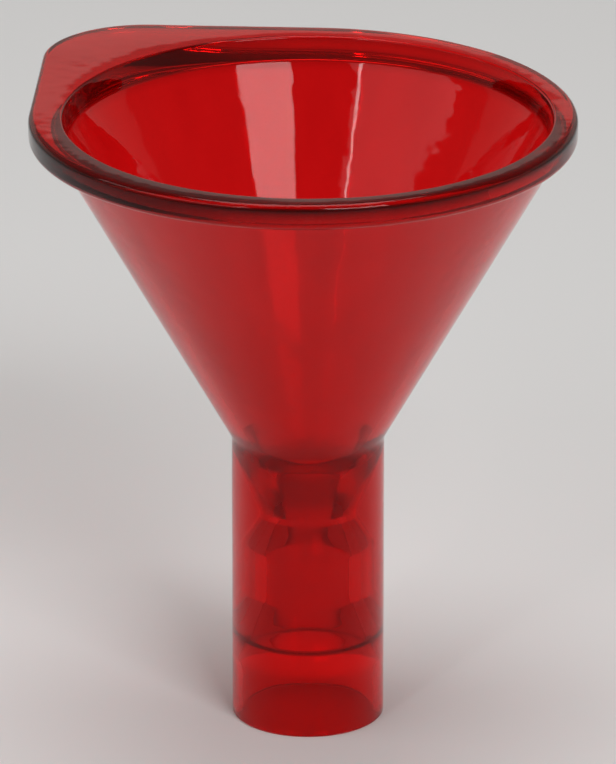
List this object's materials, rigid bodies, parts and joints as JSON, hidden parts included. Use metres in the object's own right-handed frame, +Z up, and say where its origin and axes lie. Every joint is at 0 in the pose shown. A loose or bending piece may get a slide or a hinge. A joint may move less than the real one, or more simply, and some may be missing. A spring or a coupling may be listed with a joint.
{
  "type": "funnel",
  "caption": "Clear red plastic powder funnel with a wide cone, a rim whose square corner stops it rolling, and a short thick stem with a stepped socket in its foot.",
  "frame": {"origin": "centre of the foot ring, on the funnel's axis", "axes": "+Z up along the axis, out of the mouth; the rim's square corner points towards -X +Y"},
  "size_m": [0.0534, 0.0534, 0.0624],
  "materials": {
    "clear_red_plastic": "transparent, polished, tinted deep red through its whole thickness"
  },
  "bodies": {
    "root": {"rim_flange": "clear_red_plastic", "anti_roll_tab": "clear_red_plastic", "hopper_cone": "clear_red_plastic", "stem_throat": "clear_red_plastic", "neck_sleeve": "clear_red_plastic"}
  },
  "joints": []
}
